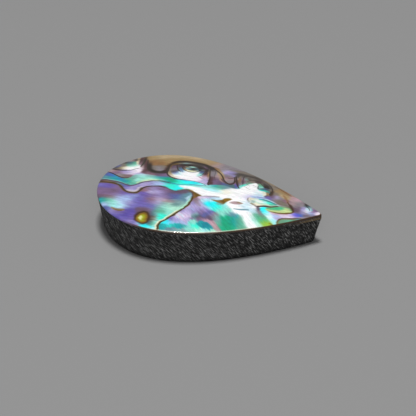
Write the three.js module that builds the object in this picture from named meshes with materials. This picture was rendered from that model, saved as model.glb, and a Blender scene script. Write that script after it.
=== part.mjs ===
// Pear-shaped abalone shell cabochon: a polished, slightly domed slice of shell
// bonded to a thick dark backing block. Millimetres, +Z up, +X towards the tip.
// The origin is at the middle of the flat underside.
import * as THREE from 'three';

// Pear outline at the girdle.
const width = 25;
const bluntLength = 13.75; // widest point back to the round end
const taperLength = 26.55; // widest point forward to where the two sides would meet
const taperFullness = 0.417; // how far along the taper the sides stay parallel to the axis
const noseHalfWidth = 0.37; // half width at which the sides turn into the rounded tip

// Heights above the underside, measured on the vertical axis through the origin.
const rimHeight = 6.3;
const rimSlope = -0.03; // the rim sinks towards the tip
const shellEdge = 0.36; // upright edge of the slice, between the backing and the rim
const shellEdgeSlope = 0.014; // the slice is thicker towards the tip

// Slice of shell above its upright edge.
const rimRounding = 0.3;
const rimScale = 0.968; // outline scale where the rounding ends and the dome starts
const domeHeight = 0.8;

// Sides of the backing, as scales of the outline about the vertical axis.
const footHeight = 1.4;
const footTopScale = 0.955;
const footScale = 0.92;

// Facets.
const around = 128;
const domeRings = 9;
const roundingSteps = 4;

// Half of the outline, from the middle of the tip to the middle of the round end.
function halfOutline() {
  const halfWidth = width / 2;
  const side = new THREE.QuadraticBezierCurve(
    new THREE.Vector2(0, halfWidth),
    new THREE.Vector2(taperFullness * taperLength, halfWidth),
    new THREE.Vector2(taperLength, 0),
  );
  const turn = Math.sqrt(1 - noseHalfWidth / halfWidth);
  const start = side.getPoint(turn);
  const slope = side.getTangent(turn);
  const noseAngle = Math.atan2(slope.x, -slope.y);
  const noseRadius = start.y / Math.sin(noseAngle);
  const noseCentre = start.x - noseRadius * Math.cos(noseAngle);

  const fromWidest = [];
  const sideSteps = 200;
  for (let i = 0; i <= sideSteps; i += 1) {
    fromWidest.push(side.getPoint((turn * i) / sideSteps));
  }
  const nose = new THREE.EllipseCurve(noseCentre, 0, noseRadius, noseRadius, 0, noseAngle);
  const round = new THREE.EllipseCurve(0, 0, bluntLength, halfWidth, Math.PI / 2, Math.PI);
  const path = new THREE.CurvePath();
  path.add(nose);
  path.add(new THREE.SplineCurve(fromWidest.reverse()));
  path.add(round);
  const middle = (noseCentre + noseRadius - bluntLength) / 2;
  const half = path.getSpacedPoints(around / 2);
  return half.map((point) => new THREE.Vector2(point.x - middle, point.y));
}

// The whole outline, counter-clockwise from the tip, with its first point repeated at the end.
function fullOutline() {
  const upper = halfOutline();
  upper[0].y = 0;
  upper[around / 2].y = 0;
  const lower = upper.slice(0, -1).reverse();
  return [...upper, ...lower.map((point) => new THREE.Vector2(point.x, -point.y))];
}

const outline = fullOutline();

const rimAt = (x) => rimHeight + rimSlope * x;
const jointAt = (x) => rimAt(x) - shellEdge - shellEdgeSlope * x;

// Turns a profile of {scale, height} rings into a closed body: a lathe whose rings are then
// stretched onto the pear outline. height(x) gives a ring's height at a place along the length.
function turnOnOutline(rings) {
  const profile = rings.map((ring, i) => new THREE.Vector2(ring.scale, i));
  const body = new THREE.LatheGeometry(profile, around);
  const position = body.attributes.position;
  for (let i = 0; i < position.count; i += 1) {
    const place = outline[Math.floor(i / rings.length)];
    const ring = rings[i % rings.length];
    const x = place.x * ring.scale;
    position.setXYZ(i, x, place.y * ring.scale, ring.height(x));
  }
  body.computeVertexNormals();
  return body;
}

function backingRings() {
  const rings = [{ scale: 0, height: () => 0 }];
  for (let i = 0; i <= roundingSteps; i += 1) {
    const angle = (i / roundingSteps) * (Math.PI / 2);
    rings.push({
      scale: footScale + (footTopScale - footScale) * Math.sin(angle),
      height: () => footHeight * (1 - Math.cos(angle)),
    });
  }
  rings.push({ scale: 1, height: jointAt });
  rings.push({ scale: 0, height: jointAt });
  return rings;
}

function shellRings() {
  const rings = [
    { scale: 0, height: jointAt },
    { scale: 1, height: jointAt },
  ];
  for (let i = 0; i <= roundingSteps; i += 1) {
    const angle = (i / roundingSteps) * (Math.PI / 2);
    rings.push({
      scale: rimScale + (1 - rimScale) * Math.cos(angle),
      height: (x) => rimAt(x) + rimRounding * Math.sin(angle),
    });
  }
  for (let i = domeRings - 1; i >= 0; i -= 1) {
    const inward = i / domeRings;
    rings.push({
      scale: rimScale * inward,
      height: (x) => rimAt(x) + rimRounding + domeHeight * (1 - inward * inward),
    });
  }
  return rings;
}

function piece(name, rings, material) {
  const mesh = new THREE.Mesh(turnOnOutline(rings), material);
  mesh.name = name;
  return mesh;
}

const nacre = new THREE.MeshStandardMaterial({ color: 0x8fb3bb, roughness: 0.12, metalness: 0.1 });
const darkBacking = new THREE.MeshStandardMaterial({ color: 0x3b3a39, roughness: 0.8, metalness: 0 });

const cabochon = new THREE.Group();
cabochon.add(piece('shell', shellRings(), nacre));
cabochon.add(piece('backing', backingRings(), darkBacking));

export default cabochon;
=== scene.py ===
# %% [markdown]
# # A pear-shaped abalone shell cabochon
# A cabochon is a stone or a shell cut with a flat back and a polished, slightly domed face.
# This one has two pieces: a thin slice of abalone shell, whose inside is the colourful
# mother-of-pearl, and a thick charcoal backing that it is glued to. We start by loading the
# fixed frame, which holds the plain solids that the finished pieces have to match.

# %% Load the frame
import math

import bmesh
import bpy
import numpy as np
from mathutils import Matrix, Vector


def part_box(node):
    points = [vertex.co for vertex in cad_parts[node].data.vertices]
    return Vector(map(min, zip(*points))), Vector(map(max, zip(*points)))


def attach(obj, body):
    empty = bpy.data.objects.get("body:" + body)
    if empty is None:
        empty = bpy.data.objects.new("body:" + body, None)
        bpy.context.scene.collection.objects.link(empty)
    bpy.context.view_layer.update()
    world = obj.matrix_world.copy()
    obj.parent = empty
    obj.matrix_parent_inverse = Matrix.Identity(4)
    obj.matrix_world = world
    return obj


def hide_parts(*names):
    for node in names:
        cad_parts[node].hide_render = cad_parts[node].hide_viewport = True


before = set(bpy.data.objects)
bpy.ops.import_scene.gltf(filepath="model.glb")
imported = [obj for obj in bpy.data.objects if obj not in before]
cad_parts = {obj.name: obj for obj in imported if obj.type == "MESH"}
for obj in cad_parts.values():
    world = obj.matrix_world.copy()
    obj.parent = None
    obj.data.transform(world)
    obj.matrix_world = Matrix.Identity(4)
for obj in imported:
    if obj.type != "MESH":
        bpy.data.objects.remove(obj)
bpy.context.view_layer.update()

# %% [markdown]
# Blender works in metres, but a shell this small is easier to think of in millimetres. So every
# place and size below is in millimetres, and is turned into metres where a mesh is made. The
# length, width and height come from the two solids. The shape of the pear in between is given
# by the same few dimensions as the solids have.

# %% Sizes
MM = 0.001
shell_low, shell_high = (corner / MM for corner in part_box("shell"))
backing_low, backing_high = (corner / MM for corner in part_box("backing"))
half_width = shell_high.y
blunt_length = 13.75
taper_length = 26.55
taper_fullness = 0.417
nose_half_width = 0.37
nose_points = 40
side_points = 600
blunt_points = 300
print("length", round(shell_high.x - shell_low.x, 2), "width", round(2 * half_width, 2),
      "height", round(shell_high.z, 2))

# %% [markdown]
# Seen from above, the outline is half an ellipse at the round end, two sides that curve in to
# meet each other, and a small round nose where they meet. The sides are quadratic Bezier curves,
# which leave the ellipse without a corner. The outline is then measured along its length, so
# that a point can be asked for by how far round it lies.

# %% Pear outline
def half_outline():
    """Points from the middle of the tip, round the far side, to the middle of the round end."""
    turn = math.sqrt(1 - nose_half_width / half_width)
    t = np.linspace(turn, 0, side_points)
    control = taper_fullness * taper_length
    side = np.column_stack([2 * t * (1 - t) * control + t * t * taper_length,
                            half_width * (1 - t * t)])
    slope_x = 2 * (1 - 2 * turn) * control + 2 * turn * taper_length
    slope_y = -2 * half_width * turn
    nose_angle = math.atan2(slope_x, -slope_y)
    nose_radius = side[0, 1] / math.sin(nose_angle)
    nose_centre = side[0, 0] - nose_radius * math.cos(nose_angle)
    a = np.linspace(0, nose_angle, nose_points)
    nose = np.column_stack([nose_centre + nose_radius * np.cos(a), nose_radius * np.sin(a)])
    b = np.linspace(math.pi / 2, math.pi, blunt_points)
    blunt = np.column_stack([blunt_length * np.cos(b), half_width * np.sin(b)])
    half = np.vstack([nose[:-1], side, blunt[1:]])
    half[:, 0] += shell_low.x + blunt_length
    return half


far_half = half_outline()
near_half = far_half[-2:0:-1] * [1, -1]
outline = np.vstack([far_half, near_half, far_half[:1]])
outline_step = np.hypot(*np.diff(outline, axis=0).T)
outline_arc = np.concatenate([[0], np.cumsum(outline_step)])
girth = outline_arc[-1]
outline_angle = np.unwrap(np.arctan2(outline[:, 1], outline[:, 0]))
print("girth", round(girth, 2), "mm")


def outline_point(arc):
    """The outline point that lies arc millimetres round from the tip."""
    return np.column_stack([np.interp(arc, outline_arc, outline[:, 0]),
                            np.interp(arc, outline_arc, outline[:, 1])])


def arc_of(x, y):
    """How far round the outline the ray through (x, y) meets it."""
    angle = np.mod(np.arctan2(y, x), 2 * math.pi)
    return np.interp(angle, outline_angle, outline_arc)


# %% [markdown]
# The top of the slice isn't level: it sinks a little towards the tip, where the slice is also
# thicker. These functions give the height of the rim and of the glue joint at a place x along
# the length, and the height of the dome at a fraction of the way out from the middle.

# %% Heights
rim_height = 6.3
rim_slope = -0.03
shell_edge = 0.36
shell_edge_slope = 0.014
rim_rounding = 0.3
rim_scale = 0.968
rim_turn = math.radians(82)
dome_scale = rim_scale + (1 - rim_scale) * math.cos(rim_turn)
dome_foot = rim_rounding * math.sin(rim_turn)
dome_height = 0.8


def rim_at(x):
    return rim_height + rim_slope * x


def joint_at(x):
    return rim_at(x) - shell_edge - shell_edge_slope * x


def dome_at(x, scale):
    return rim_at(x) + dome_foot + dome_height * (1 - (scale / dome_scale) ** 2)


for end, x in (("round end", shell_low.x), ("tip", shell_high.x)):
    print("edge of the slice at the", end, round(rim_at(x) - joint_at(x), 2), "mm")


# %% [markdown]
# The slice is modelled from a fine square grid. Its vertices are first moved so that the square
# becomes a disc without crowding anywhere, and then the disc is stretched onto the pear. A grid
# keeps its faces even in size, which a disc made of rings doesn't, and the colours are painted
# on these vertices later. The edge of the grid is then extruded ring by ring: over the rounded
# rim, down the upright edge and under the slice, where the last ring closes to a point.

# %% Helpers for meshes
def vertex_array(bm):
    """Every vertex's place in millimetres."""
    return np.array([v.co for v in bm.verts]) / MM


def place_vertices(verts, places):
    for vert, place in zip(verts, places):
        vert.co = Vector(place) * MM


def extrude_ring(bm, edges, scale_by, height):
    """Extrudes a closed ring of edges, scales it about the upright axis and sets its height."""
    made = bmesh.ops.extrude_edge_only(bm, edges=edges)["geom"]
    verts = [g for g in made if isinstance(g, bmesh.types.BMVert)]
    ring = [g for g in made if isinstance(g, bmesh.types.BMEdge)]
    ring = [e for e in ring if e.verts[0] in set(verts) and e.verts[1] in set(verts)]
    for vert in verts:
        vert.co.x *= scale_by
        vert.co.y *= scale_by
        vert.co.z = height(vert.co.x / MM) * MM
    return ring, verts


def finish_mesh(bm, name, sharp_angle):
    """Turns a bmesh into an object at the origin, smooth but for its sharp edges."""
    bmesh.ops.recalc_face_normals(bm, faces=bm.faces)
    mesh = bpy.data.meshes.new(name)
    bm.to_mesh(mesh)
    bm.free()
    mesh.shade_smooth()
    mesh.set_sharp_from_angle(angle=math.radians(sharp_angle))
    piece = bpy.data.objects.new(name, mesh)
    bpy.context.collection.objects.link(piece)
    return piece


# %% Slice of shell
grid_along = 300
grid_across = 204
rim_angles = np.radians([66, 48, 28, 10, 0])
edge_drops = (0.25, 0.5, 0.75, 1)
underside_scales = (0.8, 0.5)

bm = bmesh.new()
bmesh.ops.create_grid(bm, x_segments=grid_along, y_segments=grid_across, size=1)
grid = np.array([v.co for v in bm.verts])
disc_x = grid[:, 0] * np.sqrt(1 - grid[:, 1] ** 2 / 2)
disc_y = grid[:, 1] * np.sqrt(1 - grid[:, 0] ** 2 / 2)
scale = np.hypot(disc_x, disc_y) * dome_scale
arc = np.mod(np.arctan2(disc_y, disc_x), 2 * math.pi) / (2 * math.pi) * girth
pear = outline_point(arc) * scale[:, None]
places = np.column_stack([pear, dome_at(pear[:, 0], scale)])
place_vertices(bm.verts, places)

ring = [e for e in bm.edges if e.is_boundary]
last = dome_scale
for angle in rim_angles:
    now = rim_scale + (1 - rim_scale) * math.cos(angle)
    rise = rim_rounding * math.sin(angle)
    ring, verts = extrude_ring(bm, ring, now / last, lambda x: rim_at(x) + rise)
    last = now
for drop in edge_drops:
    ring, verts = extrude_ring(bm, ring, 1, lambda x: rim_at(x) + (joint_at(x) - rim_at(x)) * drop)
for inward in underside_scales:
    ring, verts = extrude_ring(bm, ring, inward, joint_at)
middle = Vector((0, 0, joint_at(0) * MM))
bmesh.ops.pointmerge(bm, verts=verts, merge_co=middle)
shell = finish_mesh(bm, "abalone_shell_slice", 40)
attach(shell, "root")
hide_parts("shell")
print("slice:", len(shell.data.vertices), "vertices,", len(shell.data.polygons), "faces")

# %% [markdown]
# The backing is a block of charcoal-coloured board, ground to shape with a coarse disc. Its sides
# lean in towards a rounded foot, and grinding has left slanting scratches all the way round. It
# starts as a circle of vertices on the outline, which is extruded down the side, round the foot
# and across the underside. The sides have enough rings to carry the scratches as real relief.

# %% Backing block
backing_around = 1040
side_rings = 46
foot_rings = 10
foot_height = 1.4
foot_top_scale = 0.955
foot_scale = 0.92
sole_scales = (0.97, 0.9, 0.75, 0.6, 0.4)
lid_scale = 0.6

bm = bmesh.new()
bmesh.ops.create_circle(bm, segments=backing_around, radius=1)
circle = np.array([v.co for v in bm.verts])
arc = np.mod(np.arctan2(circle[:, 1], circle[:, 0]), 2 * math.pi) / (2 * math.pi) * girth
top = outline_point(arc)
place_vertices(bm.verts, np.column_stack([top, joint_at(top[:, 0])]))
top_ring = list(bm.edges)

ring, last = top_ring, 1.0
for step in range(1, side_rings + 1):
    down = step / side_rings
    now = 1 + (foot_top_scale - 1) * down
    ring, verts = extrude_ring(
        bm, ring, now / last,
        lambda x: joint_at(x / now) * (1 - down) + foot_height * down)
    last = now
for step in range(1, foot_rings + 1):
    angle = step / foot_rings * math.pi / 2
    now = foot_scale + (foot_top_scale - foot_scale) * math.cos(angle)
    ring, verts = extrude_ring(
        bm, ring, now / last, lambda x: foot_height * (1 - math.sin(angle)))
    last = now
for inward in sole_scales:
    ring, verts = extrude_ring(bm, ring, inward, lambda x: 0)
bmesh.ops.pointmerge(bm, verts=verts, merge_co=Vector((0, 0, 0)))
ring, verts = extrude_ring(bm, top_ring, lid_scale, joint_at)
bmesh.ops.pointmerge(bm, verts=verts, merge_co=middle)
print("block:", len(bm.verts), "vertices,", len(bm.faces), "faces")

# %% [markdown]
# Noise from a seeded table gives the same scratches each time. A scratch is a place where the
# noise, stretched along the slant, dips low. Each vertex of the side moves inwards by the depth
# of the scratches there, and never outwards, so the block stays inside its solid.

# %% Seeded noise and the scratches
def smooth_noise(x, y, seed):
    """Smooth random values from 0 to 1, one bump per unit, the same for the same seed."""
    table = np.random.default_rng(seed).random((256, 256))
    column, row = np.floor(x).astype(int), np.floor(y).astype(int)
    right, up = x - column, y - row
    right, up = right * right * (3 - 2 * right), up * up * (3 - 2 * up)
    column, row = column % 256, row % 256
    low = table[column, row] * (1 - right) + table[(column + 1) % 256, row] * right
    row = (row + 1) % 256
    high = table[column, row] * (1 - right) + table[(column + 1) % 256, row] * right
    return low * (1 - up) + high * up


# each set of scratches: seed, slant in degrees, spacing and length in millimetres
scratch_sets = ((11, 62, 0.34, 2.2), (12, 54, 0.22, 1.5), (13, 71, 0.5, 3))
scratch_starts_at = 0.62
scratch_softness = 0.5


def scratch_depth(around, height):
    """Depth of the grinding scratches, from 0 to 1, at a place on the unrolled side."""
    depth = np.zeros(len(around))
    for seed, slant, spacing, reach in scratch_sets:
        turn = math.radians(slant)
        along = around * math.cos(turn) - height * math.sin(turn)
        across = around * math.sin(turn) + height * math.cos(turn)
        value = smooth_noise(across / spacing, along / reach, seed)
        depth += np.clip((scratch_starts_at - value) / scratch_softness, 0, 1)
    return depth / len(scratch_sets)


# %% Cut the scratches into the block
scratch_relief = 0.11
smooth_foot = 0.5
seam_margin = 0.02
places = vertex_array(bm)
scale = np.hypot(places[:, 0], places[:, 1])
arc = arc_of(places[:, 0], places[:, 1])
edge = outline_point(arc)
scale = scale / np.hypot(edge[:, 0], edge[:, 1])
below_joint = places[:, 2] < joint_at(places[:, 0]) - seam_margin
on_side = (scale > foot_scale - seam_margin) & below_joint
fade = np.clip(places[:, 2] / smooth_foot, 0, 1) * on_side
depth = scratch_depth(arc, places[:, 2]) * fade * scratch_relief
inward = 1 - depth / np.hypot(edge[:, 0], edge[:, 1])
places[:, 0] *= inward
places[:, 1] *= inward
place_vertices(bm.verts, places)
print("deepest scratch", round(depth.max(), 3), "mm")

# %% [markdown]
# The side is unrolled onto a UV map, in millimetres: how far round, and how high. A face that
# crosses the tip would stretch right across the map, so the corners that lie past the start are
# moved on by one whole girth. The underside is flat and simply uses its own x and y.

# %% Unrolled map of the block
sole_offset = 200
bm.verts.index_update()
unrolled = bm.loops.layers.uv.new("unrolled side")
bm.normal_update()
bmesh.ops.recalc_face_normals(bm, faces=bm.faces)
for face in bm.faces:
    flat = abs(face.normal.z) > 0.9
    rounds = [arc[loop.vert.index] for loop in face.loops]
    crosses = max(rounds) - min(rounds) > girth / 2
    for loop, around in zip(face.loops, rounds):
        x, y, z = places[loop.vert.index]
        if flat:
            loop[unrolled].uv = (x + sole_offset, y)
        else:
            loop[unrolled].uv = (around + girth * (crosses and around < girth / 2), z)
backing = finish_mesh(bm, "charcoal_backing", 60)
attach(backing, "root")
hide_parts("backing")
print("backing:", len(backing.data.polygons), "faces, unrolled over", round(girth, 1), "mm")

# %% [markdown]
# The colours of mother-of-pearl come from thin layers that were laid down at different times, so
# they lie in fields with their own grain, parted by dark seams. No single noise makes that, so
# the shell is painted: each vertex of the slice gets a tint, by brushes that work on the places
# of all the vertices at once. The two brushes that carry most of the work are a blend, where
# soft flashes of colour melt into each other, and a line, which only notes how far each vertex
# is from a seam, so that the material can draw the seam much finer than the mesh.

# %% Paths and masks
slice_places = np.array([v.co for v in shell.data.vertices]) / MM
px, py, pz = slice_places.T
print("vertices to paint:", len(px))


def smooth_path(points, closed=False, steps=6):
    """A curve through the given points (Catmull-Rom)."""
    points = np.array(points, float)
    if closed:
        ends = points[-1:], points[:2]
    else:
        ends = 2 * points[:1] - points[1:2], 2 * points[-1:] - points[-2:-1]
    points = np.vstack([ends[0], points, ends[1]])
    t = (np.arange(steps) / steps)[:, None]
    pieces = []
    for a, b, c, d in zip(points, points[1:], points[2:], points[3:]):
        pieces.append(0.5 * (2 * b + (c - a) * t + (2 * a - 5 * b + 4 * c - d) * t ** 2
                             + (3 * b - a - 3 * c + d) * t ** 3))
    pieces.append(points[-2:-1])
    return np.vstack(pieces)


# %% Measures from a path
def distance_to(path, x, y):
    """How far each place is from a path, and how far along the path, from 0 to 1, it is nearest."""
    best = np.full(x.shape, 1e9)
    along = np.zeros(x.shape)
    lengths = np.hypot(*np.diff(path, axis=0).T)
    done = np.concatenate([[0], np.cumsum(lengths)]) / lengths.sum()
    for start, end, done_from, done_to in zip(path[:-1], path[1:], done[:-1], done[1:]):
        step = end - start
        t = ((x - start[0]) * step[0] + (y - start[1]) * step[1]) / max(step @ step, 1e-12)
        t = np.clip(t, 0, 1)
        away = np.hypot(x - start[0] - t * step[0], y - start[1] - t * step[1])
        nearer = away < best
        best[nearer] = away[nearer]
        along[nearer] = (done_from + t * (done_to - done_from))[nearer]
    return best, along


def inside(path, x, y):
    """Whether each place is inside a closed path."""
    odd = np.zeros(x.shape, bool)
    for (ax, ay), (bx, by) in zip(path, np.roll(path, -1, 0)):
        if ay != by:
            odd ^= ((ay > y) != (by > y)) & (x < (bx - ax) * (y - ay) / (by - ay) + ax)
    return odd


def eased(value, low, high):
    t = np.clip((value - low) / (high - low), 0, 1)
    return t * t * (3 - 2 * t)


# %% Brushes
raggedness = 0.24
ragged_x = px + raggedness * (smooth_noise(px * 0.9, py * 1.6, 3) - 0.5)
ragged_y = py + raggedness * (smooth_noise(px * 0.9, py * 1.6, 4) - 0.5)
tint = np.zeros((len(px), 3))
seam_reach = 2.0
seam = np.full(len(px), seam_reach)


def linear(colour):
    """A display colour from 0 to 255 as light from 0 to 1."""
    c = np.array(colour, float) / 255
    return np.where(c < 0.04045, c / 12.92, ((c + 0.055) / 1.055) ** 2.4)


def close_to(path, reach):
    low, high = path.min(0) - reach, path.max(0) + reach
    return (px > low[0]) & (px < high[0]) & (py > low[1]) & (py < high[1])


def field(points, soft=0.2):
    """How much each vertex is inside an area, from 0 to 1, with a soft edge."""
    path = smooth_path(points, closed=True)
    where = close_to(path, soft + 0.5)
    x, y = ragged_x[where], ragged_y[where]
    away, _ = distance_to(np.vstack([path, path[:1]]), x, y)
    away = np.where(inside(path, x, y), away, -away)
    mask = np.zeros(len(px))
    mask[where] = eased(away, -soft, soft)
    return mask


def lay(colour, weight):
    """Lays one tint over the others."""
    tint[:] += (np.array(colour, float) - tint) * weight[:, None]


def patch(name, points, soft=0.25, strength=1.0):
    lay(tints[name], strength * field(points, soft))


def stroke(name, points, width, strength=1.0, soft=0.8, taper=0.35):
    """A brush stroke along a path, thinner at its ends."""
    path = smooth_path(points)
    where = close_to(path, width * 2.2 + 0.5)
    away, along = distance_to(path, ragged_x[where], ragged_y[where])
    half = width * (1 - taper * (2 * along - 1) ** 2)
    weight = np.zeros(len(px))
    weight[where] = strength * (1 - eased(away, half * (1 - soft), half * (1 + soft)))
    lay(tints[name], weight)


def draw(points, half_width, taper=0.3):
    """A seam: notes how far each vertex is from the edge of the line."""
    path = smooth_path(points)
    where = close_to(path, seam_reach)
    away, along = distance_to(path, px[where], py[where])
    half = half_width * (1 - taper * np.abs(2 * along - 1) ** 3)
    seam[where] = np.minimum(seam[where], away - half)


def report(what):
    """Says what was painted, the mean tint so far and how many vertices lie under a seam."""
    under = np.count_nonzero(seam < 0)
    print(what, "- mean tint", tint.mean(0).round().astype(int).tolist(), "- under seams", under)


# %% Ribbons and blends
flash_overlap = 0.62
shortest_flash = 0.3
flash_falloff = 0.55
far_pull = 0.006


def ribbon(names, points, width):
    """Flashes of tint spread evenly along a path: name, x, y, half length, half width, turn."""
    names = names.split(", ")
    path = smooth_path(points)
    done = np.concatenate([[0], np.cumsum(np.hypot(*np.diff(path, axis=0).T))])
    share = done[-1] / len(names)

    def on_path(place):
        return np.array([np.interp(place, done, path[:, axis]) for axis in (0, 1)])

    flashes = []
    for order, name in enumerate(names):
        middle = (order + 0.5) * share
        x, y = on_path(middle)
        run_x, run_y = on_path(middle + 0.3 * share) - on_path(middle - 0.3 * share)
        turn = math.atan2(run_y, run_x)
        flashes.append((name, x, y, max(flash_overlap * share, shortest_flash), width, turn))
    return flashes


def blend(ribbons, mask=None, wander=1.0):
    """Melts the flashes of all the ribbons into each other, inside the mask."""
    x = px + wander * fray_x
    y = py + wander * fray_y
    total = np.full(len(px), 1e-9)
    melted = np.zeros((len(px), 3))
    for name, cx, cy, length, width, turn in sum(ribbons, []):
        u = ((x - cx) * math.cos(turn) + (y - cy) * math.sin(turn)) / length
        v = ((y - cy) * math.cos(turn) - (x - cx) * math.sin(turn)) / width
        reach = u * u + v * v
        weight = np.exp(-flash_falloff * reach) + far_pull / (1 + reach) ** 2
        total += weight
        melted += weight[:, None] * np.array(tints[name], float)
    melted /= total[:, None]
    if mask is None:
        tint[:] = melted
    else:
        tint[:] += (melted - tint) * mask[:, None]


# %% [markdown]
# The silk runs along the layers: straight in most fields, slanting in the near right one, and
# round and round in the eyes. Two numbers for each vertex, along and across the grain, let the
# brushes fray their edges that way, and let the material stretch its noise that way.

# %% Grain of the silk
slant = field([(-2.4, -2.2), (1.5, -1.9), (6, -3.2), (8.5, -3.2), (13, -5.5), (8, -9.5), (0, -12.5),
               (-6.5, -13), (-5, -9)], 0.8)
along = px + 0.5 * smooth_noise(px * 0.3, py * 0.3, 31)
across = py + 0.9 * smooth_noise(px * 0.25, py * 0.35, 32)
along += ((px - py) / math.sqrt(2) - along) * slant
across += ((px + py) / math.sqrt(2) - across) * slant
fray = 0.55 * (smooth_noise(along * 0.6, across * 3.5, 33) - 0.5)
fray += 0.35 * (smooth_noise(along * 1.4, across * 8, 34) - 0.5)
fray_x = fray * (1 - 0.3 * slant)
fray_y = -0.7 * fray * slant
eye_whorls = ((-4.9, 7.7, 3.9), (7, 6.4, 3.6), (-17, 8.2, 4))
for cx, cy, reach in eye_whorls:
    away = np.hypot(px - cx, (py - cy) * 1.1)
    near = eased(away, reach, reach - 1.2)
    along += (np.arctan2(py - cy, px - cx) * 2 - along) * near
    across += (away * 1.3 - across) * near
print("slanting silk on", round(100 * slant.mean()), "% of the vertices")

# %% [markdown]
# The palette names every tint that the shell needs, as display colours from 0 to 255.

# %% Palette
tints = {
    "violet": (110, 94, 168), "deep violet": (92, 80, 158), "mauve": (128, 104, 140),
    "umber mauve": (104, 84, 102), "lavender": (154, 144, 196), "lilac": (186, 174, 216),
    "pink lilac": (224, 206, 232), "pale blue": (168, 190, 230), "ice": (190, 226, 240),
    "periwinkle": (116, 108, 178), "slate": (88, 98, 156), "mint": (146, 222, 206),
    "mint grey": (134, 172, 172), "pale green": (178, 234, 208), "sea green": (96, 176, 146),
    "teal": (40, 158, 164), "deep teal": (10, 124, 146), "emerald": (18, 168, 124),
    "turquoise": (60, 246, 216), "cyan": (40, 246, 252), "pale cyan": (170, 244, 248),
    # pearl, pure white, paints the glare of the light into the tint wherever it is used: a painted
    # reflection over the nacre's own pale lustre
    "pearl": (255, 255, 255), "cream": (236, 232, 204), "pink white": (246, 234, 246),
    "rose": (200, 160, 174), "dusty pink": (176, 150, 152), "light tan": (186, 164, 128),
    "tan": (160, 134, 92), "brown orange": (142, 106, 70), "horn grey": (126, 116, 106),
    "charcoal": (78, 73, 68), "soot": (50, 44, 42), "maroon": (86, 60, 64),
    "maroon pink": (136, 104, 118), "gold": (140, 108, 10), "olive": (110, 84, 34),
    "yellow green": (166, 196, 60), "leaf green": (76, 186, 136), "leaf yellow": (200, 218, 150),
    "blue": (72, 112, 196), "royal": (92, 78, 200), "grey teal": (78, 110, 120),
    "sand": (146, 128, 92), "warm grey": (140, 132, 138), "umber": (70, 50, 34),
    "pale yellow": (226, 232, 172), "grey green": (108, 158, 128), "steel": (104, 146, 160),
    "ink": (34, 30, 30),
}
print(len(tints), "tints")

# %% [markdown]
# Two long seams and a slanting one split the slice. They are where the animal laid a new sheet
# of pearl over an older one, with a dark sheet of horn between the two.

# %% Seams
lower_seam = [
    (-20.5, -0.4), (-19.3, -0.45), (-18.3, -0.4), (-17.2, -0.5), (-16.3, -0.85), (-15.5, -1.5),
    (-14.9, -2.2), (-14.2, -2.75), (-13.3, -3), (-12.5, -2.8), (-12.1, -2.2), (-11.8, -1.4),
    (-11.2, -0.7), (-10.3, -0.25), (-9.1, -0.02), (-8, -0.15), (-7, -0.55), (-6, -0.85),
    (-5.3, -0.7), (-4.7, -0.3), (-4.1, -0.02), (-3.5, -0.1), (-3.0, -0.5), (-2.7, -1.1),
    (-2.5, -1.9),
]
slanting_seam = [
    (-2.5, -1.9), (-2.4, -2.7), (-2.45, -3.5), (-2.7, -4.5), (-3.1, -5.5), (-3.7, -6.6),
    (-4.4, -7.8), (-5, -8.8), (-5.6, -9.6), (-6.1, -10.3), (-6.25, -11.2), (-6.2, -12), (-6, -13),
]
upper_seam = [
    (-20.5, 0.2), (-19.3, 0.35), (-18, 0.2), (-16.8, 0), (-15.8, -0.25), (-15, -0.65),
    (-14.2, -0.85), (-13.5, -0.65), (-13, -0.1), (-12.4, 0.45), (-11.6, 0.95), (-10.6, 1.45),
    (-9.5, 1.7), (-8.4, 1.6), (-7.5, 1.4),
]
for name, path in (("lower", lower_seam), ("slanting", slanting_seam), ("upper", upper_seam)):
    print(name, "seam:", round(np.hypot(*np.diff(path, axis=0).T).sum(), 1), "mm long")
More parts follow.
